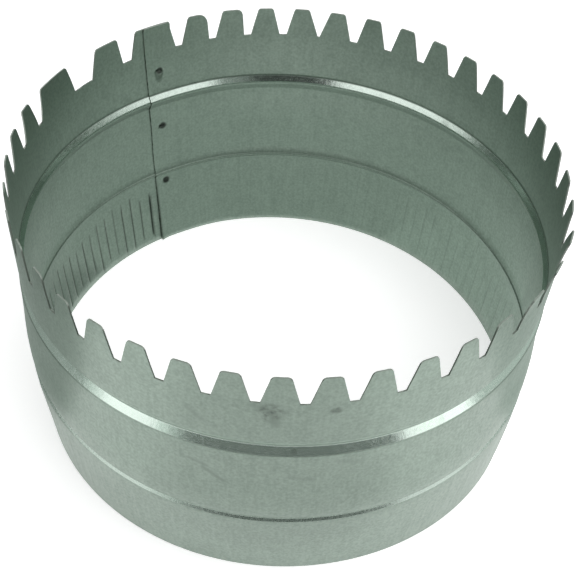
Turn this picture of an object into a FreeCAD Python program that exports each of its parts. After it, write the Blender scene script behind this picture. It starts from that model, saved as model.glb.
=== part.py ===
import FreeCAD, Part
import math
import os

# Duct starting collar: one strip of galvanised sheet, notched along one long edge,
# rolled into a ring and joined by a clinched lap. Millimetres, +Z up.
# The origin is the centre of the ring on the plane of its bottom edge, teeth upwards.
# Angles run anticlockwise from +X, seen from above.

# Sheet, and the heights of the ring's bands from the bottom edge up
sheet = 0.55
spigot_height = 40.5
body_height = 36.7
bead_lower_height = 3.8
bead_upper_height = 3.3
neck_height = 20.1
tooth_depth = 12.3
step_rise = 1.0
spigot_straight = 4.0

# Outside radius of the body, and how far each other band is set in from the one beside it.
# The bead is a groove rolled inwards, which stiffens the ring below its neck.
body_radius = 101.6
bead_inset = 2.4
neck_inset = 1.4
spigot_inset = 0.6
edge_inset = 2.1

# Lapped seam: the inner end of the strip is set in by one sheet and lies on the outer end
seam_angle = 128.5
lap_width = 11.0
joggle_length = 8.0

# Clinched joints down the middle of the lap
upper_lance_drop = 9.1
lower_lance_drop = 10.8
dimple_drop = 5.9
lance_width = 3.4
lance_height = 2.0
dimple_radius = 1.6
clinch_depth = 0.4
clinch_margin = 0.3

# Crimp flutes round the drawn-in lower end
flute_pitch_angle = 3.5
flute_width = 1.5
flute_depth = 0.22
flute_bottom = 4.0
flute_run_out = 2.0
flute_root = 0.15
flute_margin_angle = 1.7

# Notches between the teeth, in runs of equal pitch that go clockwise from the seam
first_notch_angle = 120.2
notch_run_counts = [12, 7, 9, 8]
notch_run_pitch_angles = [8.83, 9.19, 8.68, 8.42]
notch_root_width = 3.0
notch_top_width = 9.2
tooth_corner_cut = 1.0
pointed_notch_number = 4
pointed_root_width = 0.8
seam_notch_angle = 134.2
seam_notch_root_width = 4.4
wide_notch_angle = 147.7
wide_root_width = 10.4
wide_top_width = 16.0

# How far a cutter reaches past the face that it opens
cutter_reach = 4.0

bead_radius = body_radius - bead_inset
neck_radius = body_radius - neck_inset
spigot_radius = body_radius - spigot_inset
edge_radius = spigot_radius - edge_inset
taper_height = spigot_height - step_rise / 2 - spigot_straight
taper_slope = edge_inset / taper_height
flute_top = taper_height - flute_run_out
body_top_height = spigot_height + body_height
bead_height = body_top_height + bead_lower_height
neck_foot_height = bead_height + bead_upper_height
tooth_root_height = neck_foot_height + neck_height
overall_height = tooth_root_height + tooth_depth
lap_angle = math.degrees(lap_width / body_radius)
joggle_angle = math.degrees(joggle_length / body_radius)
lap_start = seam_angle - lap_angle
lap_middle = seam_angle - lap_angle / 2
Z_AXIS = FreeCAD.Vector(0, 0, 1)
ORIGIN = FreeCAD.Vector(0, 0, 0)


def turned(shape, angle):
    copy = shape.copy()
    copy.rotate(ORIGIN, Z_AXIS, angle)
    return copy


def wall_outline():
    """Corners of the wall's outer face as radius and height, from the bottom edge up."""
    return [
        (edge_radius, 0),
        (spigot_radius, taper_height),
        (spigot_radius, spigot_height - step_rise / 2),
        (body_radius, spigot_height + step_rise / 2),
        (body_radius, body_top_height),
        (bead_radius, bead_height),
        (neck_radius, neck_foot_height),
        (neck_radius, overall_height),
    ]


def wall_radius(height):
    """Radius of the wall's outer face at a height."""
    corners = wall_outline()
    for (low_radius, low), (high_radius, high) in zip(corners, corners[1:]):
        if low <= height <= high:
            return low_radius + (high_radius - low_radius) * (height - low) / (high - low)


def wall_points(radius_shift):
    """The wall's corners in the XZ plane, moved in or out by radius_shift."""
    return [FreeCAD.Vector(radius + radius_shift, 0, height) for radius, height in wall_outline()]


def section(layer):
    """Closed section of the sheet: layer 0 is the outer one, layer 1 lies inside it."""
    outer = wall_points(-layer * sheet)
    inner = wall_points(-(layer + 1) * sheet)
    return Part.makePolygon(outer + inner[::-1] + outer[:1])


def rolled(layer, start_angle, sweep):
    face = turned(Part.Face(section(layer)), start_angle)
    return face.revolve(ORIGIN, Z_AXIS, sweep)


def rolled_sheet():
    """The ring with its lap: outer turn, joggle inwards, then the inner end of the strip."""
    outer_turn = rolled(0, lap_start, 360 - joggle_angle)
    inner_end = rolled(1, lap_start, lap_angle)
    joggle_ends = [turned(section(0), lap_start - joggle_angle), turned(section(1), lap_start)]
    joggle = Part.makeLoft(joggle_ends, True, True)
    return outer_turn.fuse([joggle, inner_end])


def radial_prism(outline, inner_radius, depth):
    """Outline given as a wire in the YZ plane, pushed out along +X from inner_radius."""
    face = Part.Face(outline)
    face.translate(FreeCAD.Vector(inner_radius, 0, 0))
    return face.extrude(FreeCAD.Vector(depth, 0, 0))


def notch_outline(root_width, top_width):
    """Trapezoid that widens once more at the top, to take the corners off the teeth beside it."""
    root = FreeCAD.Vector(0, root_width / 2, tooth_root_height)
    tip = FreeCAD.Vector(0, top_width / 2, overall_height)
    flank_end = tip + (root - tip).normalize() * tooth_corner_cut
    tip_end = tip + FreeCAD.Vector(0, tooth_corner_cut, 0)
    above = tip_end + FreeCAD.Vector(0, 0, cutter_reach)
    side = [root, flank_end, tip_end, above]
    mirror = [FreeCAD.Vector(0, -point.y, point.z) for point in side]
    return Part.makePolygon(side + mirror[::-1] + side[:1])


def notch(angle, root_width, top_width):
    start = neck_radius - 2 * sheet - cutter_reach
    depth = 2 * (cutter_reach + sheet)
    return turned(radial_prism(notch_outline(root_width, top_width), start, depth), angle)


def notch_angles():
    angles = [first_notch_angle]
    for count, pitch_angle in zip(notch_run_counts, notch_run_pitch_angles):
        for step in range(count):
            angles.append(angles[-1] - pitch_angle)
    return angles


def notches():
    cutters = []
    for number, angle in enumerate(notch_angles()):
        root_width = pointed_root_width if number == pointed_notch_number else notch_root_width
        cutters.append(notch(angle, root_width, notch_top_width))
    cutters.append(notch(seam_notch_angle, seam_notch_root_width, notch_top_width))
    cutters.append(notch(wide_notch_angle, wide_root_width, wide_top_width))
    return cutters


def frustum(lower, upper):
    """Solid with flat faces between two similar outlines given as lists of points."""
    faces = [Part.Face(Part.makePolygon(points + points[:1])) for points in (lower, upper)]
    for index in range(len(lower)):
        after = (index + 1) % len(lower)
        side = [lower[index], lower[after], upper[after], upper[index], lower[index]]
        faces.append(Part.Face(Part.makePolygon(side)))
    return Part.Solid(Part.Shell(faces))


def flute_bead(radius_shift):
    """Wedge on the tapered face at angle 0: it narrows towards the taper's apex, as the face does,
    stands flute_depth out of the face and is flute_width wide where it leaves it."""
    foot_radius = edge_radius + radius_shift
    apex = FreeCAD.Vector(0, 0, -foot_radius / taper_slope)
    face_radius = foot_radius + taper_slope * flute_bottom
    half_width = flute_width / 2 * (flute_depth + flute_root) / flute_depth
    lower = [
        FreeCAD.Vector(face_radius + flute_depth, 0, flute_bottom),
        FreeCAD.Vector(face_radius - flute_root, half_width, flute_bottom),
        FreeCAD.Vector(face_radius - flute_root, -half_width, flute_bottom),
    ]
    growth = (flute_top - apex.z) / (flute_bottom - apex.z)
    upper = [apex + (point - apex) * growth for point in lower]
    return frustum(lower, upper)


def flute_angles():
    first = seam_angle + flute_margin_angle
    last = lap_start - joggle_angle - flute_margin_angle + 360
    count = int((last - first) / flute_pitch_angle) + 1
    return [first + index * flute_pitch_angle for index in range(count)]


def lance_outline(height, margin):
    half_width = lance_width / 2 + margin
    half_height = lance_height / 2 + margin
    corners = [
        FreeCAD.Vector(0, -half_width, height - half_height),
        FreeCAD.Vector(0, half_width, height - half_height),
        FreeCAD.Vector(0, half_width, height + half_height),
        FreeCAD.Vector(0, -half_width, height + half_height),
    ]
    return Part.makePolygon(corners + corners[:1])


def dimple_outline(height, margin):
    circle = Part.makeCircle(dimple_radius + margin, FreeCAD.Vector(0, 0, height), FreeCAD.Vector(1, 0, 0))
    return Part.Wire([circle])


def clinches():
    """Pockets pressed into the lap from the bore, and the buttons that they raise outside."""
    places = [
        (lance_outline, tooth_root_height - upper_lance_drop),
        (lance_outline, body_top_height - lower_lance_drop),
        (dimple_outline, spigot_height - dimple_drop),
    ]
    pockets = []
    buttons = []
    for outline, height in places:
        outside = wall_radius(height)
        bore = outside - 2 * sheet
        pocket = radial_prism(outline(height, 0), bore - cutter_reach, cutter_reach + clinch_depth)
        button = radial_prism(outline(height, clinch_margin), outside - sheet, sheet + clinch_depth)
        pockets.append(turned(pocket, lap_middle))
        buttons.append(turned(button, lap_middle))
    return pockets, buttons


def collar():
    ring = rolled_sheet()
    pockets, buttons = clinches()
    ridge = flute_bead(0)
    groove = flute_bead(-sheet)
    ridges = [turned(ridge, angle) for angle in flute_angles()]
    grooves = [turned(groove, angle) for angle in flute_angles()]
    ring = ring.fuse(ridges + buttons)
    ring = ring.cut(notches() + grooves + pockets)
    return ring.removeSplitter()


os.makedirs("parts", exist_ok=True)
collar().Solids[0].exportStep("parts/collar.step")
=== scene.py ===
import bmesh
import bpy
import math
import random
from mathutils import Matrix, Vector, noise


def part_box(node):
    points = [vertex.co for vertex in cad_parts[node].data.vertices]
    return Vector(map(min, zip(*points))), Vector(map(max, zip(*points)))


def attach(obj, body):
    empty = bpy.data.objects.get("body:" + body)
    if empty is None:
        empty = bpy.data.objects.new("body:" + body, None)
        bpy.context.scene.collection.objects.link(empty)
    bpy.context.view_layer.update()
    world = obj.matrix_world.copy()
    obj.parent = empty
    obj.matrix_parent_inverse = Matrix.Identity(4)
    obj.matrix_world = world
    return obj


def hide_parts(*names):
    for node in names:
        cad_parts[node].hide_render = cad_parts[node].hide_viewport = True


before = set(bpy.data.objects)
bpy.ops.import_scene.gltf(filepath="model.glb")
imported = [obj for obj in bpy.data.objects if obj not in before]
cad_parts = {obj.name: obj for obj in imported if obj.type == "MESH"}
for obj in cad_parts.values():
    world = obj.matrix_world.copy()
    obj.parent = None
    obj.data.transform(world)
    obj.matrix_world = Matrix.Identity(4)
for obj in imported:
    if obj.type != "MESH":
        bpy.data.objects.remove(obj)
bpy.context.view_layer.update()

# The collar is one strip of sheet, so it is modelled as a strip: columns run up the wall and
# follow the strip clockwise from its inner end at the lap, rows follow the rolled section.
# Sizes are in millimetres, as in the part's source, and angles in degrees from +X.

MM = 0.001

# Sheet and section
SHEET = 0.55
TAPER_HEIGHT = 36.0
SPIGOT_HEIGHT = 40.5
BODY_TOP = 77.2
BEAD_HEIGHT = 81.1
NECK_FOOT = 84.3
TOOTH_DEPTH = 12.3
OVERALL_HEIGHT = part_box("collar")[1][2] / MM
TOOTH_ROOT = OVERALL_HEIGHT - TOOTH_DEPTH
BODY_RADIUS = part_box("collar")[1][0] / MM
NECK_RADIUS = BODY_RADIUS - 1.4
EDGE_RADIUS = BODY_RADIUS - 2.7

# Heights of the small groove at the step, from its foot up, and the reach of its bends
GROOVE_FOOT = 38.2
GROOVE_HEIGHT = 39.5
GROOVE_LIP = 39.95
GROOVE_BEND = 0.15

# Corners of the section: outside radius, height, and how far up and down the bend is rounded
SECTION = [
    (EDGE_RADIUS, 0, 0),
    (BODY_RADIUS - 0.15, GROOVE_FOOT, GROOVE_BEND),
    (BODY_RADIUS - 1.1, GROOVE_HEIGHT, GROOVE_BEND),
    (BODY_RADIUS - 0.65, GROOVE_LIP, GROOVE_BEND),
    (BODY_RADIUS, 43, 1),
    (BODY_RADIUS, 52, 4),
    (BODY_RADIUS - 0.9, 64, 4),
    (BODY_RADIUS - 1.0, BODY_TOP, 0.5),
    (BODY_RADIUS - 3.2, BEAD_HEIGHT, 0.5),
    (NECK_RADIUS - 0.1, NECK_FOOT, 0.6),
    (NECK_RADIUS - 0.3, OVERALL_HEIGHT, 0),
]

# Out of round: the crimped end is pressed oval, and the ring bulges low at the right of the front
# and a little at the left. The left bulge's heights are those where it starts, is full, and ends
OVAL_RIGHT = 1.8
OVAL_LEFT = 1.2
OVAL_TOP = 38.0
OVAL_FADE = 0.6
FRONT_INSET = 0.6
FRONT_INSET_ANGLE = 255
BULGE = 1.1
BULGE_ANGLE = 333
BULGE_SPREAD = 58
BULGE_TOP = 75.0
LEFT_BULGE = 0.6
LEFT_BULGE_ANGLE = 199
LEFT_BULGE_SPREAD = 32
LEFT_BULGE_HEIGHTS = (8, 34, 60, 79)

# Lap: its free inner edge is slanted, and stands a little off the sheet behind it
SEAM_ANGLE = 128.5
LAP_ANGLE = math.degrees(11.0 / BODY_RADIUS)
JOGGLE_ANGLE = math.degrees(24.0 / BODY_RADIUS)
LAP_GAP = 0.03
SEAM_SLANT = 1.1
SEAM_LIFT = 0.5
SEAM_LIFT_ANGLE = 2.2

# Notches
FIRST_NOTCH = 120.2
NOTCH_RUNS = [(12, 8.83), (7, 9.19), (9, 8.68), (8, 8.42)]
NOTCH_ROOT = 3.0
NOTCH_TOP = 9.2
POINTED_NOTCH = 4
POINTED_ROOT = 0.8
SEAM_NOTCH = (134.2, 4.4, 9.2)
WIDE_NOTCH = (147.7, 10.4, 16.0)
BACK_CORNER = 1.1
FRONT_CORNER = 1.6
CORNER_STEPS = 8

# Teeth bent at their right corner: number from the seam, how far the tip moved, and its corner radius
BENT_TEETH = {1: (2.0, 4.2), 2: (2.2, 2.6)}

# Crimp flutes. Their shares of the full depth are those left of the seam, in front, at the right
# and right of the seam
FLUTE_DEPTH = 0.6
FLUTE_LEFT_SHARE = 1
FLUTE_FRONT_SHARE = 0.2
FLUTE_RIGHT_SHARE = 0.25
FLUTE_BACK_SHARE = 0.08
FLUTE_PINCH = 0.15
FLUTE_BOTTOM = 4.0
FLUTE_TOP = TAPER_HEIGHT - 2.0
FLUTE_MARGIN = 1.7
FLUTE_COLUMNS = 6
CREASE_TOP = 28
SEAM_CREASE = (130.2, 1.1, 4.5, CREASE_TOP)

# Clinched joints: angle, height, half width along the wall, half height, and round or not
CLINCHES = [
    (125.8, TOOTH_ROOT - 9.1, 1.7, 1.1, False),
    (125.7, BODY_TOP - 10.8, 1.9, 1.1, False),
    (125.5, SPIGOT_HEIGHT - 5.9, 1.9, 1.9, True),
]
CLINCH_DEPTH = 0.7
CLINCH_WINDOW = 3.4
CLINCH_ROW = 0.5

# Hand-made unevenness: how far the sheet wanders inwards, and how far a tooth leans. The angles
# are those where a lean starts, is full, and ends
WANDER = 0.12
WANDER_WAVES = 2.2
WANDER_RISE = 34
FINE_WAVES = 3.1
TOOTH_LEAN = 0.35
RIGHT_LEAN = 1.5
RIGHT_LEAN_ANGLES = (318, 330, 348, 359)
WIDE_LEAN = 1.2
WIDE_LEAN_ANGLES = (155, 158, 175, 185)
LEAN_DROP = 0.12

# Mesh. Between its two heights the even columns turn to follow the teeth
COLUMN = 0.5165
LAP_COLUMN = 0.3
STRIP_ANGLE = 360 + LAP_ANGLE
FOLLOW_TEETH = (44, 77)
TOOTH_ROWS = 8
TOOTH_ROW_CROWDING = 1.25
EDGE_BEVEL = 0.1
DEGREES_PER_MM = math.degrees(1 / NECK_RADIUS)

# Colours, as linear values
WHITE = (1, 1, 1, 1)
STEEL_DARK = (0.228, 0.286, 0.244, 1)
STEEL_PALE = (0.304, 0.374, 0.322, 1)
STEEL_RUBBED = (0.76, 0.88, 0.80, 1)
EDGE_DARK = (0.12, 0.14, 0.12, 1)
EDGE_PALE = (0.36, 0.40, 0.36, 1)
# Dark colour for the real dirt marks and scuffs, and also for painted shade in the clinched pockets, the
# flutes' creases and the gap under the lap's free edge
DIRT_AND_PAINTED_SHADE = (0.03, 0.035, 0.03, 1)

# Dirt on the outside: angle, height, and the mark's inner and outer radius
DIRT_MARKS = [
    (269.3, 100, 1, 7),
    (280.6, 101, 0.8, 2.4),
    (263, 102, 0.4, 1.3),
    (274, 79.3, 0.4, 1.3),
]

# Scuffs on the outside: the two ends as angle and height, the half width and the strength
SCUFFS = [
    ((254.2, 69), (257.8, 67), 1.3, 0.16),
    ((257.2, 65.5), (261, 60.5), 1.4, 0.2),
    ((273.5, 66), (278, 64.5), 1.8, 0.12),
    ((282, 74), (286.5, 71.5), 1.5, 0.1),
    ((254.2, 96), (256.8, 91.5), 1.8, 0.12),
    ((269.6, 100.5), (270.3, 94), 2.6, 0.2),
    ((266, 103.5), (269, 100.5), 2.6, 0.14),
    ((280.1, 100.8), (281.2, 100.5), 1.4, 0.4),
]

# Light, in metres and watts
FLOOR_GLOW = 0.5
WORLD_LIGHT = 0.55
LAMP_POWER = 8
LAMP_SIZE = 0.9
LAMP_PLACE = (0.35, -0.2, 1.3)

# Camera, found by fitting the rims, the bead, the step and the teeth to the photograph:
# its place in metres, its pan, tilt and roll in radians, and its picture in pixels
CAMERA_PLACE = (0, -0.27372, 0.33543)
CAMERA_PAN = 0.0144444336
CAMERA_TILT = 0.8647511188
CAMERA_ROLL = -0.0723505453
FOCAL_LENGTH = 968.956294
PICTURE_SIZE = 576
CENTRE_ROW = 346
SENSOR_WIDTH = 36

# Foot of the ring's inner face in metres, for the flags inside it
INNER_FOOT = 0.0978
ARC_STEPS = 16


def floor_arc(start, stop):
    """Corners on the floor along the ring's inner foot, clockwise from one angle to another."""
    shares = [step / ARC_STEPS for step in range(ARC_STEPS + 1)]
    turns = [math.radians(start + (stop - start) * share) for share in shares]
    return [(INNER_FOOT * math.cos(turn), INNER_FOOT * math.sin(turn)) for turn in turns]


# Flags: dark cards that only the metal mirrors, as painted shade in its reflections:
# the unlit room round the object, and the shaded floor beside and inside the ring.
# Each has its corners in metres, on the floor or upright behind the camera, and its brightness
FLAG_HEIGHT = 0.001
FLOOR_FLAGS = [
    ("left_flag", [(-0.108, -0.055), (-0.11, 0.12), (-0.2, 0.2), (-0.2, -0.104)], 0.5),
    ("far_left_flag", [(-0.2, -0.104), (-0.2, 0.2), (-1.2, 0.8), (-1.2, -0.5)], 0.28),
    ("left_fade_flag", [(-0.2, -0.104), (-1.2, -0.5), (-1.2, -0.68), (-0.2, -0.118)], 0.6),
    (
        "right_flag",
        [(0.205, -0.1), (0.26, -0.115), (1.2, -0.4), (1.2, 0.8), (0.3, 0.4), (0.19, 0.1)],
        0.45,
    ),
    ("near_right_flag", [(0.11, -0.03), (0.188, -0.06), (0.188, 0.1), (0.11, 0.08)], 0.78),
    ("right_fade_flag", [(0.36, -0.45), (0.5, -0.45), (0.5, -0.33), (0.38, -0.33)], 0.5),
    ("inner_flag", floor_arc(148, 60) + [(0, 0)], 0.62),
    ("inner_right_flag", floor_arc(60, -6) + [(0, 0)], 0.74),
    ("inner_far_left_flag", floor_arc(186, 148) + [(-0.068, 0.04), (-0.068, -0.007)], 0.42),
    ("inner_left_flag", [(-0.092, -0.01), (-0.03, -0.005), (-0.03, -0.07), (-0.068, -0.062)], 0.5),
]
FRONT_FLAG = [
    (-0.075, -0.105), (-0.09, -0.2), (-0.05, -0.26), (0.05, -0.26), (0.09, -0.2), (0.075, -0.105),
]
CEILING_FLAG = (
    "ceiling_flag",
    [(-0.9, -0.9, 1.0), (0.9, -0.9, 1.0), (0.9, 0.9, 1.0), (-0.9, 0.9, 1.0)],
    0.5,
)
UPRIGHT_DISTANCE = 0.45
UPRIGHT_FLAGS = [
    ("low_upright_flag", [(-0.26, 0), (0.42, 0), (0.40, 0.17), (-0.24, 0.17)], 0.145),
    ("low_left_upright_flag", [(-0.31, 0), (-0.26, 0), (-0.24, 0.17), (-0.29, 0.17)], 0.35),
    ("low_fade_upright_flag", [(-0.37, 0), (-0.31, 0), (-0.29, 0.17), (-0.35, 0.17)], 0.65),
    ("high_upright_flag", [(-0.15, 0.17), (0.19, 0.17), (0.16, 0.5), (-0.14, 0.5)], 0.04),
    ("high_right_upright_flag", [(0.19, 0.17), (0.37, 0.17), (0.34, 0.5), (0.16, 0.5)], 0.2),
]
SIDE_FLAG = (
    "side_upright_flag",
    [(-1.25, -0.1, 0), (-1.25, 0.8, 0), (-1.25, 0.8, 0.5), (-1.25, -0.1, 0.5)],
    0.1,
)
ROOM_TINT = (1, 1.1, 1.04)


def smooth(low, high, value):
    t = min(1.0, max(0.0, (value - low) / (high - low)))
    return t * t * (3 - 2 * t)


def between(value, low, full, still_full, high):
    """0 below low and above high, 1 from full to still_full, smooth where it rises and falls."""
    return smooth(low, full, value) * (1 - smooth(still_full, high, value))


def section_rows():
    """Heights of the rows up to the roots of the teeth, close together at the bends."""
    rows = [0, 2, 4, 6, 8, 11, 15, 19, 22.5, 25, 27, 29, 31, 33, TAPER_HEIGHT]
    for corner in (GROOVE_FOOT, GROOVE_HEIGHT, GROOVE_LIP):
        rows += [corner - GROOVE_BEND, corner, corner + GROOVE_BEND]
    rows += [GROOVE_FOOT + 0.25, GROOVE_HEIGHT - 0.25, 42, 43, 44, 48, 52, 56, 60, 64, 68, 73]
    for corner in (BODY_TOP, BEAD_HEIGHT, NECK_FOOT):
        rows += [corner - 0.6, corner - 0.3, corner, corner + 0.3, corner + 0.6]
    rows += [89, 94, 99, TOOTH_ROOT]
    return sorted(rows)


def corner_fillet(height, corner, reach, slope_below, slope_above):
    """How far a rounded corner leaves the sharp section: a parabola that is reach high each way."""
    away = abs(height - corner)
    if away >= reach:
        return 0.0
    return (slope_above - slope_below) * (reach - away) ** 2 / (4 * reach)


def wall_radius(angle, height):
    """Outside radius of the rolled section, with its bends rounded and its foot oval."""
    slopes = [(b[0] - a[0]) / (b[1] - a[1]) for a, b in zip(SECTION, SECTION[1:])]
    radius = EDGE_RADIUS
    for (_, low, _), (_, high, _), slope in zip(SECTION, SECTION[1:], slopes):
        radius += slope * (min(max(height, low), high) - low)
    for (_, corner, reach), below, above in zip(SECTION[1:], slopes, slopes[1:]):
        radius += corner_fillet(height, corner, reach, below, above)
    return radius + out_of_round(angle, height)


def apart(angle, other):
    """Degrees between two angles, the short way round."""
    return abs((angle - other + 180) % 360 - 180)


def out_of_round(angle, height):
    """How far the wall leaves its circle outwards, at the oval foot and at the two bulges."""
    turn = math.radians(angle)
    side = math.cos(turn)
    front = max(0, math.cos(turn - math.radians(FRONT_INSET_ANGLE)))
    foot = (OVAL_RIGHT if side > 0 else OVAL_LEFT) * side ** 2 - FRONT_INSET * front ** 2
    foot *= max(0, 1 - height / OVAL_TOP) ** OVAL_FADE
    right = BULGE * (1 - smooth(0, BULGE_SPREAD, apart(angle, BULGE_ANGLE)))
    right *= 1 - smooth(BULGE_TOP / 2, BULGE_TOP, height)
    left = LEFT_BULGE * (1 - smooth(0, LEFT_BULGE_SPREAD, apart(angle, LEFT_BULGE_ANGLE)))
    left *= between(height, *LEFT_BULGE_HEIGHTS)
    return foot + right + left


def widest(angle):
    """The largest radius that stays inside the part's box."""
    turn = math.radians(angle)
    return BODY_RADIUS / max(abs(math.cos(turn)), abs(math.sin(turn)))


def layer_inset(angle):
    """The strip's inner end lies one sheet inside the ring, and steps out past the lap."""
    from_end = SEAM_ANGLE - angle
    return (SHEET + LAP_GAP) * (1 - smooth(LAP_ANGLE, LAP_ANGLE + JOGGLE_ANGLE, from_end))


def seam_lift(angle, height):
    """The free inner edge stands a little off the sheet behind it towards the bottom."""
    from_end = SEAM_ANGLE - angle
    near_end = 1 - smooth(0, SEAM_LIFT_ANGLE, from_end)
    return SEAM_LIFT * near_end * (1 - smooth(2, SPIGOT_HEIGHT, height))


def clinch_push(angle, height):
    """Outward push of the pressed marks down the lap, on both layers."""
    push = 0.0
    for centre, middle, half_width, half_height, is_round in CLINCHES:
        across = apart(angle, centre) / DEGREES_PER_MM
        along = abs(height - middle)
        if is_round:
            inside = 1 - smooth(0.55, 1.0, math.hypot(across, along) / half_width)
        else:
            inside = 1 - smooth(0.7, 1.0, across / half_width)
            inside *= 1 - smooth(0.6, 1.0, along / half_height)
        push = max(push, CLINCH_DEPTH * inside)
    return push


def sheet_wander(angle, height):
    """Slow unevenness of the rolled sheet, always inwards from the true section."""
    turn = math.radians(angle)
    around = Vector((math.cos(turn), math.sin(turn), 0)) * WANDER_WAVES
    point = around + Vector((0, 0, height / WANDER_RISE))
    coarse = 0.5 + 0.5 * noise.noise(point)
    fine = 0.5 + 0.5 * noise.noise(point * FINE_WAVES + Vector((7, 3, 5)))
    return WANDER * (0.7 * coarse + 0.3 * fine)


class Strip:
    """Columns and teeth of the strip, read clockwise from its inner end."""

    def __init__(self):
        self.root_angles = [SEAM_ANGLE]
        self.teeth = []
        self.notches = self.make_notches()
        edge = SEAM_ANGLE
        tip_edge = SEAM_ANGLE
        for centre, root_width, top_width in self.notches:
            half_root = root_width / 2 * DEGREES_PER_MM
            half_top = top_width / 2 * DEGREES_PER_MM
            self.add_tooth(edge, centre + half_root, tip_edge, centre + half_top)
            self.add_columns(centre + half_root, centre - half_root, COLUMN, 2)
            edge = centre - half_root
            tip_edge = centre - half_top
        end = SEAM_ANGLE - STRIP_ANGLE
        self.add_tooth(edge, end, tip_edge, end)

    def make_notches(self):
        angle = FIRST_NOTCH
        found = [(angle, NOTCH_ROOT, NOTCH_TOP)]
        for count, pitch in NOTCH_RUNS:
            for step in range(count):
                angle -= pitch
                root = POINTED_ROOT if len(found) == POINTED_NOTCH else NOTCH_ROOT
                found.append((angle, root, NOTCH_TOP))
        for centre, root_width, top_width in (WIDE_NOTCH, SEAM_NOTCH):
            found.append((centre - 360, root_width, top_width))
        return found

    def add_columns(self, start, stop, spacing, least):
        count = max(least, round((start - stop) / spacing))
        for index in range(1, count + 1):
            self.root_angles.append(start + (stop - start) * index / count)

    def add_tooth(self, start, stop, tip_start, tip_stop):
        first = len(self.root_angles) - 1
        beside_lap = start == SEAM_ANGLE or stop == SEAM_ANGLE - STRIP_ANGLE
        self.add_columns(start, stop, LAP_COLUMN if beside_lap else COLUMN, 6)
        self.teeth.append((first, len(self.root_angles) - 1, tip_start, tip_stop))

    def column_angle(self, column, height):
        """Columns are drawn together at the flutes, and follow the teeth at the top."""
        count = len(self.root_angles) - 1
        pinch = {1: -FLUTE_PINCH, FLUTE_COLUMNS - 1: FLUTE_PINCH}.get(column % FLUTE_COLUMNS, 0)
        if column in (1, count - 1):
            pinch = 0
        even = SEAM_ANGLE - STRIP_ANGLE * (column + pinch) / count
        return even + (self.root_angles[column] - even) * smooth(*FOLLOW_TEETH, height)


def along_path(points, distance):
    for start, stop in zip(points, points[1:]):
        length = (stop - start).length
        if distance <= length:
            return start + (stop - start) * (distance / length)
        distance -= length
    return points[-1].copy()


def resample(points, shares):
    total = sum((b - a).length for a, b in zip(points, points[1:]))
    return [along_path(points, total * share) for share in shares]


def corner_arc(root, tip, towards, radius):
    """Points of the rounded tooth corner, from the flank to the top edge."""
    back = (root - tip).normalized()
    ahead = (towards - tip).normalized()
    half = back.angle(ahead) / 2
    reach = radius / math.tan(half)
    centre = tip + (back + ahead).normalized() * (radius / math.sin(half))
    start = tip + back * reach - centre
    turn = start.angle_signed(tip + ahead * reach - centre)
    turns = [-turn * step / CORNER_STEPS for step in range(CORNER_STEPS + 1)]
    return [centre + Matrix.Rotation(angle, 2) @ start for angle in turns]


def tooth_grid(number, strip):
    """Grid of (angle, height) over one tooth, its top corners rounded: rows from root to tip."""
    first, last, tip_start, tip_stop = strip.teeth[number]
    columns = last - first
    start = strip.root_angles[first]
    stop = strip.root_angles[last]
    root_left = Vector((0, 0))
    root_right = Vector(((start - stop) / DEGREES_PER_MM, 0))
    tip_left = Vector(((start - tip_start) / DEGREES_PER_MM, TOOTH_DEPTH))
    corner_radius = BACK_CORNER if 0 < start % 360 < 180 else FRONT_CORNER
    bent, right_radius = BENT_TEETH.get(number, (0, corner_radius))
    tip_right = Vector(((start - tip_stop) / DEGREES_PER_MM + bent, TOOTH_DEPTH))
    left_arc = corner_arc(root_left, tip_left, tip_right, corner_radius)
    right_arc = corner_arc(root_right, tip_right, tip_left, right_radius)
    middle = CORNER_STEPS // 2
    rise = [1 - (1 - row / TOOTH_ROWS) ** TOOTH_ROW_CROWDING for row in range(TOOTH_ROWS + 1)]
    run = [column / columns for column in range(columns + 1)]
    left = resample([root_left] + left_arc[:middle + 1], rise)
    right = resample([root_right] + right_arc[:middle + 1], rise)
    top = resample(left_arc[middle:] + right_arc[middle:][::-1], run)
    foot = [root_left.lerp(root_right, share) for share in run]
    for column in range(columns + 1):
        foot[column].x = (start - strip.root_angles[first + column]) / DEGREES_PER_MM
    grid = []
    for row, v in enumerate(rise):
        line = []
        for column, u in enumerate(run):
            across = left[row].lerp(right[row], u)
            up = foot[column].lerp(top[column], v)
            flat = foot[0].lerp(foot[-1], u).lerp(top[0].lerp(top[-1], u), v)
            point = across + up - flat
            line.append((start - point.x * DEGREES_PER_MM, TOOTH_ROOT + point.y))
        grid.append(line)
    return grid


def flute_share(turn):
    """Share of the full depth that a flute has at an angle from 0 to 360."""
    if turn > SEAM_ANGLE:
        return FLUTE_LEFT_SHARE + (FLUTE_FRONT_SHARE - FLUTE_LEFT_SHARE) * smooth(180, 205, turn)
    return FLUTE_RIGHT_SHARE + (FLUTE_BACK_SHARE - FLUTE_RIGHT_SHARE) * smooth(40, 75, turn)


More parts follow.
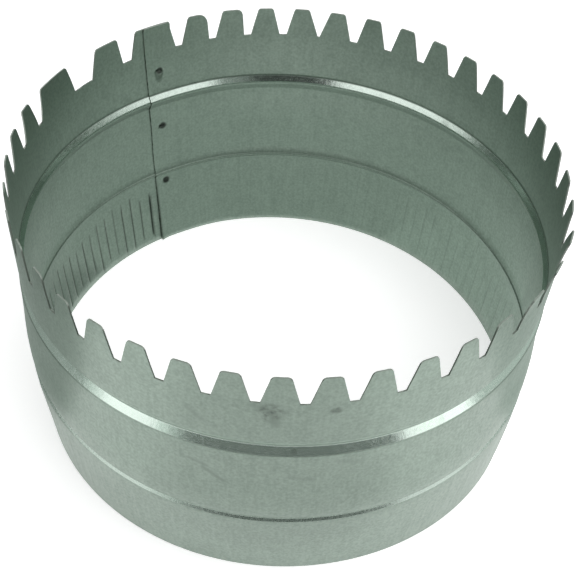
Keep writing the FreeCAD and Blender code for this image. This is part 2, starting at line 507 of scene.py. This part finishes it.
def flute_table(count):
    """Depth and end heights of each crimp flute, and of the crease beside the seam."""
    chooser = random.Random(11)
    table = {}
    for column in range(FLUTE_COLUMNS, count, FLUTE_COLUMNS):
        angle = SEAM_ANGLE - STRIP_ANGLE * column / count
        if angle > SEAM_ANGLE - LAP_ANGLE - JOGGLE_ANGLE - FLUTE_MARGIN:
            continue
        if angle < SEAM_ANGLE - 360 + FLUTE_MARGIN:
            continue
        depth = FLUTE_DEPTH * flute_share(angle % 360) * chooser.uniform(0.6, 1.2)
        bottom = FLUTE_BOTTOM + chooser.uniform(-2.0, 2.0)
        top = FLUTE_TOP - chooser.uniform(1.5, 7.5)
        table[column] = (depth, bottom, top)
    crease_angle, depth, bottom, top = SEAM_CREASE
    column = round((SEAM_ANGLE + 360 - crease_angle) / STRIP_ANGLE * count)
    table[column] = (depth, bottom, top)
    return table


def flute_push(table, column, height):
    if column not in table:
        return 0.0
    depth, bottom, top = table[column]
    return depth * between(height, bottom - 2, bottom + 1.5, top - 1.5, top + 1.5)


def slanted(angle, height):
    """The strip's inner end was not cut quite square: it leans away from the lap towards the teeth."""
    near_end = 1 - smooth(0, 3, SEAM_ANGLE - angle)
    rise = max(0, height - SPIGOT_HEIGHT) / (OVERALL_HEIGHT - SPIGOT_HEIGHT)
    return angle + SEAM_SLANT * near_end * rise


def surface_point(angle, height, push):
    radius = min(wall_radius(angle, height) + push, widest(angle))
    radius -= layer_inset(angle) + seam_lift(angle, height) + sheet_wander(angle, height)
    radius += clinch_push(angle, height)
    turn = math.radians(slanted(angle, height))
    return Vector((radius * math.cos(turn), radius * math.sin(turn), height)) * MM


def tooth_lean(angle):
    """How far the tips stand out where teeth were bent: front right, and beside the wide notch."""
    right = RIGHT_LEAN * between(angle, *RIGHT_LEAN_ANGLES)
    return right + WIDE_LEAN * between(angle, *WIDE_LEAN_ANGLES)


def add_quads(faces, lower, upper):
    for column in range(len(lower) - 1):
        faces.append((lower[column], upper[column], upper[column + 1], lower[column + 1]))


def split_clinch_windows(bm):
    """Adds rows round each pressed mark, on both layers of the lap."""
    for centre, height, half_width, half_height, is_round in CLINCHES:
        bands = {}
        for edge in bm.edges:
            low, high = sorted((vert.co.y for vert in edge.verts))
            close = apart(edge.verts[0].co.x, centre) / DEGREES_PER_MM < CLINCH_WINDOW
            level = low < height + half_height and high > height - half_height
            if high - low > CLINCH_ROW and close and level:
                bands.setdefault(round(high - low, 3), []).append(edge)
        for rise, edges in bands.items():
            bmesh.ops.subdivide_edges(bm, edges=edges, cuts=round(rise / CLINCH_ROW), use_grid_fill=True)


def strip_mesh():
    """The outer face of the strip: a flat grid of (angle, height, push) that is then rolled up."""
    strip = Strip()
    count = len(strip.root_angles) - 1
    flutes = flute_table(count)
    points = []
    faces = []

    def add_row(line):
        points.extend(line)
        return list(range(len(points) - len(line), len(points)))

    below = None
    for height in section_rows():
        line = []
        for column in range(count + 1):
            push = flute_push(flutes, column, height)
            line.append((strip.column_angle(column, height), height, push))
        row = add_row(line)
        if below:
            add_quads(faces, below, row)
        below = row
    chooser = random.Random(5)
    for number, tooth in enumerate(strip.teeth):
        lean = tooth_lean(strip.root_angles[tooth[0]] % 360) - TOOTH_LEAN * chooser.uniform(0, 1)
        lower = below[tooth[0]:tooth[1] + 1]
        for line in tooth_grid(number, strip)[1:]:
            rise = (line[0][1] - TOOTH_ROOT) / TOOTH_DEPTH
            drop = LEAN_DROP * abs(lean) * rise * rise
            upper = add_row([(angle, height - drop, lean * rise * rise) for angle, height in line])
            add_quads(faces, lower, upper)
            lower = upper
    mesh = bpy.data.meshes.new("collar_sheet")
    mesh.from_pydata(points, [], faces)
    bm = bmesh.new()
    bm.from_mesh(mesh)
    split_clinch_windows(bm)
    # The pressed layer is the mask for painted shade: the flutes' depth, and the lap's free edge towards
    # the bottom
    pressed = bm.verts.layers.float.new("pressed")
    for vert in bm.verts:
        angle, height, push = vert.co
        if height < SPIGOT_HEIGHT:
            free_edge = 1 - smooth(0.2, 0.5, SEAM_ANGLE - angle)
            free_edge *= 1 - smooth(CREASE_TOP, SPIGOT_HEIGHT, height)
            vert[pressed] = max(min(1, push / FLUTE_DEPTH), free_edge)
        vert.co = surface_point(angle, height, push)
    for face in bm.faces:
        face.smooth = True
    bm.to_mesh(mesh)
    bm.free()
    return mesh


def make_collar():
    sheet = bpy.data.objects.new("collar_sheet", strip_mesh())
    bpy.context.scene.collection.objects.link(sheet)
    thickness = sheet.modifiers.new("sheet_thickness", "SOLIDIFY")
    thickness.thickness = SHEET * MM
    thickness.offset = -1
    thickness.use_even_offset = True
    thickness.material_offset_rim = 1
    edges = sheet.modifiers.new("sheared_edges", "BEVEL")
    edges.width = EDGE_BEVEL * MM
    edges.segments = 1
    edges.limit_method = "ANGLE"
    edges.angle_limit = math.radians(50)
    edges.harden_normals = True
    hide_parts("collar")
    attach(sheet, "root")
    return sheet


class Nodes:
    """Short calls for building a material's nodes."""

    def __init__(self, name):
        self.material = bpy.data.materials.new(name)
        self.material.use_nodes = True
        self.tree = self.material.node_tree
        self.shader = self.tree.nodes["Principled BSDF"]

    def add(self, kind, inputs=(), **settings):
        node = self.tree.nodes.new("ShaderNode" + kind)
        for name, value in settings.items():
            setattr(node, name, value)
        for name, value in dict(inputs).items():
            self.put(value, node.inputs[name])
        return node

    def put(self, value, socket):
        if isinstance(value, bpy.types.NodeSocket):
            self.tree.links.new(value, socket)
        else:
            socket.default_value = value

    def math(self, operation, first, second=0.0, clamp=False):
        return self.add("Math", {0: first, 1: second}, operation=operation, use_clamp=clamp).outputs[0]

    def ramp(self, value, low, high, to_low=0.0, to_high=1.0):
        inputs = {"Value": value, "From Min": low, "From Max": high, "To Min": to_low, "To Max": to_high}
        return self.add("MapRange", inputs, interpolation_type="SMOOTHSTEP").outputs[0]

    def noise(self, place, scale, detail=2.0, squash=1.0, roughness=0.5):
        if squash != 1.0:
            place = self.add("Mapping", {"Vector": place, "Scale": (1, 1, squash)}).outputs[0]
        inputs = {"Vector": place, "Scale": scale, "Detail": detail, "Roughness": roughness}
        return self.add("TexNoise", inputs).outputs["Fac"]

    def mix(self, factor, first, second):
        node = self.add("Mix", data_type="RGBA", clamp_factor=True)
        self.put(factor, node.inputs[0])
        self.put(first, node.inputs[6])
        self.put(second, node.inputs[7])
        return node.outputs[2]

    def between(self, height, low, high, blur):
        """1 from low to high, in millimetres, with soft ends outside them."""
        over_low = self.ramp(height, (low - blur) * MM, low * MM)
        over_high = self.ramp(height, high * MM, (high + blur) * MM)
        return self.math("SUBTRACT", over_low, over_high, clamp=True)

    def spot(self, place, centre, inner, outer):
        """1 inside a ball round centre and 0 outside it, in millimetres."""
        inputs = {0: place, 1: Vector(centre) * MM}
        far = self.add("VectorMath", inputs, operation="DISTANCE").outputs["Value"]
        return self.ramp(far, outer * MM, inner * MM)

    def stroke(self, place, start, stop, half_width):
        """1 on the line from start to stop, fading to 0 at half_width from it, in millimetres."""
        start = Vector(start) * MM
        along = Vector(stop) * MM - start
        offset = self.add("VectorMath", {0: place, 1: start}, operation="SUBTRACT").outputs[0]
        inputs = {0: offset, 1: along / along.length_squared}
        share = self.add("VectorMath", inputs, operation="DOT_PRODUCT").outputs["Value"]
        share = self.math("ADD", share, 0.0, clamp=True)
        nearest = self.add("VectorMath", {0: along, "Scale": share}, operation="SCALE").outputs[0]
        far = self.add("VectorMath", {0: offset, 1: nearest}, operation="DISTANCE").outputs["Value"]
        return self.ramp(far, half_width * MM, 0.0)


def on_wall(angle, height, inset=0.0):
    """A point on the wall's outer face, or inset millimetres behind it."""
    turn = math.radians(angle)
    radius = wall_radius(angle, height) - inset
    return (radius * math.cos(turn), radius * math.sin(turn), height)


def steel_material():
    """Dull zinc: upright rolling grain, faint spangle and mottling, burnished where it was rolled,
    with smudges and scuffs on the outside, and painted shade in the clinched marks, in the flutes'
    creases and along the lap's free edge."""
    steel = Nodes("galvanised_sheet")
    place = steel.add("TexCoord").outputs["Object"]
    height = steel.add("SeparateXYZ", {0: place}).outputs["Z"]
    grain = steel.noise(place, 900, 3, 0.05)
    streak = steel.noise(place, 160, 3, 0.08)
    speckle = steel.noise(place, 950, 3)
    cloud = steel.noise(place, 45, 4)
    spangle = steel.add("TexVoronoi", {"Vector": place, "Scale": 260}).outputs["Color"]
    spangle = steel.add("SeparateColor", {0: spangle}).outputs["Red"]
    tone = steel.math("MULTIPLY", grain, 0.2)
    tone = steel.math("ADD", tone, steel.math("MULTIPLY", streak, 0.07))
    tone = steel.math("ADD", tone, steel.math("MULTIPLY", speckle, 0.6))
    tone = steel.math("ADD", tone, steel.math("MULTIPLY", cloud, 0.07))
    tone = steel.math("ADD", tone, steel.math("MULTIPLY", spangle, 0.06))
    colour = steel.mix(steel.ramp(tone, 0.25, 0.75), STEEL_DARK, STEEL_PALE)
    outer_band = steel.between(height, BODY_TOP + 0.7, BEAD_HEIGHT - 0.6, 0.4)
    inner_band = steel.between(height, BEAD_HEIGHT + 0.6, NECK_FOOT - 0.6, 0.4)
    normal = steel.add("TexCoord").outputs["Normal"]
    from_axis = steel.add("VectorMath", {0: place, 1: (1, 1, 0)}, operation="MULTIPLY").outputs[0]
    inputs = {0: normal, 1: from_axis}
    facing = steel.add("VectorMath", inputs, operation="DOT_PRODUCT").outputs["Value"]
    outside = steel.math("GREATER_THAN", facing, 0.0)
    step_line = steel.between(height, GROOVE_FOOT + 0.2, GROOVE_HEIGHT - 0.2, 0.2)
    step_line = steel.math("MULTIPLY", step_line, 0.6)
    outer_band = steel.math("MAXIMUM", outer_band, step_line)
    rubbed = steel.add("Mix", {0: outside, 2: inner_band, 3: outer_band}).outputs[0]
    rubbed = steel.math("MULTIPLY", rubbed, steel.ramp(streak, 0.2, 0.45, 0.8, 1.0))
    colour = steel.mix(rubbed, colour, STEEL_RUBBED)
    dirt = steel.ramp(steel.noise(place, 420, 3), 0.4, 0.7, 0.1, 0.6)
    marks = None
    for angle, level, inner, outer in DIRT_MARKS:
        spot = steel.spot(place, on_wall(angle, level), inner, outer)
        marks = spot if marks is None else steel.math("MAXIMUM", marks, spot)
    colour = steel.mix(steel.math("MULTIPLY", marks, dirt), colour, DIRT_AND_PAINTED_SHADE)
    scuffs = None
    for start, stop, half_width, strength in SCUFFS:
        stroke = steel.stroke(place, on_wall(*start), on_wall(*stop), half_width)
        stroke = steel.math("MULTIPLY", stroke, strength)
        scuffs = stroke if scuffs is None else steel.math("ADD", scuffs, stroke)
    scuffs = steel.math("MULTIPLY", scuffs, steel.ramp(speckle, 0.3, 0.7, 0.6, 1.4))
    colour = steel.mix(scuffs, colour, DIRT_AND_PAINTED_SHADE)
    # Painted shade: each clinched pocket is darkened towards the dark colour, for the shade inside the
    # pressed pocket
    pit_shade = None
    for angle, level, half_width, half_height, is_round in CLINCHES:
        centre = on_wall(angle, level, 1.5 * SHEET)
        spot = steel.spot(place, centre, half_width * 0.6, half_width * 1.2)
        pit_shade = spot if pit_shade is None else steel.math("MAXIMUM", pit_shade, spot)
    colour = steel.mix(steel.math("MULTIPLY", pit_shade, 0.9), colour, DIRT_AND_PAINTED_SHADE)
    # Painted shade on the inside only: darker along the flutes' creases and the gap under the lap's free
    # edge, by the mesh's pressed mask
    crease_shade = steel.add("Attribute", attribute_name="pressed").outputs["Fac"]
    crease_shade = steel.math("MULTIPLY", crease_shade, steel.math("SUBTRACT", 0.7, outside, clamp=True))
    colour = steel.mix(crease_shade, colour, DIRT_AND_PAINTED_SHADE)
    steel.put(colour, steel.shader.inputs["Base Color"])
    rough = steel.ramp(tone, 0.3, 0.7, 0.44, 0.34)
    rough = steel.math("SUBTRACT", rough, steel.math("MULTIPLY", rubbed, 0.2))
    steel.put(rough, steel.shader.inputs["Roughness"])
    steel.shader.inputs["Metallic"].default_value = 1
    relief = steel.math("ADD", grain, steel.math("MULTIPLY", cloud, 1.5))
    bump = steel.add("Bump", {"Height": relief, "Strength": 0.12, "Distance": 0.0002})
    steel.put(bump.outputs[0], steel.shader.inputs["Normal"])
    return steel.material


def edge_material():
    """Sheared edge: pale and dark in short patches, and painted lighter round the teeth than at the
    foot, against the shade in the lap's gap.
    """
    edge = Nodes("sheared_edge")
    place = edge.add("TexCoord").outputs["Object"]
    height = edge.add("SeparateXYZ", {0: place}).outputs["Z"]
    tone = edge.ramp(edge.noise(place, 420, 3), 0.35, 0.65)
    # Painted light: above the tooth roots the edge is lightened, so the lap's shaded free edge shows
    # faint there
    teeth = edge.ramp(height, (TOOTH_ROOT - 0.5) * MM, (TOOTH_ROOT + 1) * MM, 0, 0.8)
    tone = edge.math("MAXIMUM", tone, teeth)
    edge.put(edge.mix(tone, EDGE_DARK, EDGE_PALE), edge.shader.inputs["Base Color"])
    edge.shader.inputs["Metallic"].default_value = 1
    edge.put(edge.ramp(tone, 0, 1, 0.55, 0.35), edge.shader.inputs["Roughness"])
    return edge.material


def seen_directly(nodes, links):
    """1 for rays that show the background: from the camera, mirrored in metal, or through glass."""
    path = nodes.new("ShaderNodeLightPath")
    total = path.outputs["Is Camera Ray"]
    for name in ("Is Glossy Ray", "Is Transmission Ray"):
        node = nodes.new("ShaderNodeMath")
        node.operation = "MAXIMUM"
        links.new(total, node.inputs[0])
        links.new(path.outputs[name], node.inputs[1])
        total = node.outputs[0]
    return total


def stage_plane(name, corners):
    mesh = bpy.data.meshes.new(name)
    mesh.from_pydata(corners, [], [range(len(corners))])
    plane = bpy.data.objects.new(name, mesh)
    bpy.context.scene.collection.objects.link(plane)
    return plane


def make_floor():
    """White floor: part of its white is its own glow for the camera and for mirrors, so that the
    object's shadow stays soft and pale."""
    floor = stage_plane("floor", [(-4, -4, 0), (4, -4, 0), (4, 4, 0), (-4, 4, 0)])
    paint = Nodes("floor_white")
    paint.shader.inputs["Base Color"].default_value = (0.9, 0.9, 0.9, 1)
    paint.shader.inputs["Roughness"].default_value = 0.9
    paint.shader.inputs["Emission Color"].default_value = WHITE
    glow = paint.math("MULTIPLY", seen_directly(paint.tree.nodes, paint.tree.links), FLOOR_GLOW)
    paint.put(glow, paint.shader.inputs["Emission Strength"])
    floor.data.materials.append(paint.material)


def make_flags():
    """Cards that show in the metal alone: all have the room's tint, but the front one is white."""
    cards = []
    for name, corners, shade in FLOOR_FLAGS:
        cards.append((name, [(x, y, FLAG_HEIGHT) for x, y in corners], shade))
    cards += [CEILING_FLAG, SIDE_FLAG]
    for name, corners, shade in UPRIGHT_FLAGS:
        cards.append((name, [(x, -UPRIGHT_DISTANCE, z) for x, z in corners], shade))
    tinted = []
    for name, corners, shade in cards:
        tinted.append((name, corners, [shade * part for part in ROOM_TINT] + [1]))
    tinted.append(("front_flag", [(x, y, FLAG_HEIGHT) for x, y in FRONT_FLAG], WHITE))
    for name, corners, colour in tinted:
        flag = stage_plane(name, corners)
        flag.visible_camera = False
        flag.visible_diffuse = False
        flag.visible_shadow = False
        flag.visible_transmission = False
        card = Nodes(name)
        card.shader.inputs["Base Color"].default_value = (0, 0, 0, 1)
        card.shader.inputs["Specular IOR Level"].default_value = 0
        card.shader.inputs["Emission Color"].default_value = colour
        card.shader.inputs["Emission Strength"].default_value = 1
        flag.data.materials.append(card.material)


def make_world():
    world = bpy.data.worlds.new("studio")
    world.use_nodes = True
    bpy.context.scene.world = world
    nodes = world.node_tree.nodes
    links = world.node_tree.links
    light = nodes["Background"]
    light.inputs["Color"].default_value = WHITE
    light.inputs["Strength"].default_value = WORLD_LIGHT
    white = nodes.new("ShaderNodeBackground")
    white.inputs["Color"].default_value = WHITE
    white.inputs["Strength"].default_value = 1
    mix = nodes.new("ShaderNodeMixShader")
    links.new(seen_directly(nodes, links), mix.inputs[0])
    links.new(light.outputs[0], mix.inputs[1])
    links.new(white.outputs[0], mix.inputs[2])
    links.new(mix.outputs[0], nodes["World Output"].inputs["Surface"])


def make_lamp(name, place, size, power):
    """A square area lamp that looks at the origin."""
    data = bpy.data.lights.new(name, "AREA")
    data.size = size
    data.energy = power
    lamp = bpy.data.objects.new(name, data)
    lamp.location = place
    lamp.rotation_euler = (-Vector(place)).to_track_quat("-Z", "Y").to_euler()
    bpy.context.scene.collection.objects.link(lamp)


def make_camera():
    ahead = Vector((math.sin(CAMERA_PAN), math.cos(CAMERA_PAN), 0))
    forward = ahead * math.cos(CAMERA_TILT) - Vector((0, 0, math.sin(CAMERA_TILT)))
    level = Vector((math.cos(CAMERA_PAN), -math.sin(CAMERA_PAN), 0))
    down = forward.cross(level)
    right = level * math.cos(CAMERA_ROLL) + down * math.sin(CAMERA_ROLL)
    up = level * math.sin(CAMERA_ROLL) - down * math.cos(CAMERA_ROLL)
    data = bpy.data.cameras.new("camera")
    data.sensor_width = SENSOR_WIDTH
    data.lens = FOCAL_LENGTH / PICTURE_SIZE * SENSOR_WIDTH
    data.shift_y = (CENTRE_ROW - PICTURE_SIZE / 2) / PICTURE_SIZE
    data.clip_start = 0.01
    camera = bpy.data.objects.new("camera", data)
    camera.matrix_world = Matrix((right, up, -forward)).transposed().to_4x4()
    camera.location = CAMERA_PLACE
    bpy.context.scene.collection.objects.link(camera)
    bpy.context.scene.camera = camera


collar = make_collar()
collar.data.materials.append(steel_material())
collar.data.materials.append(edge_material())
make_floor()
make_flags()
make_world()
make_lamp("overhead_softbox", LAMP_PLACE, LAMP_SIZE, LAMP_POWER)
make_camera()
bpy.context.scene.view_settings.view_transform = "Standard"
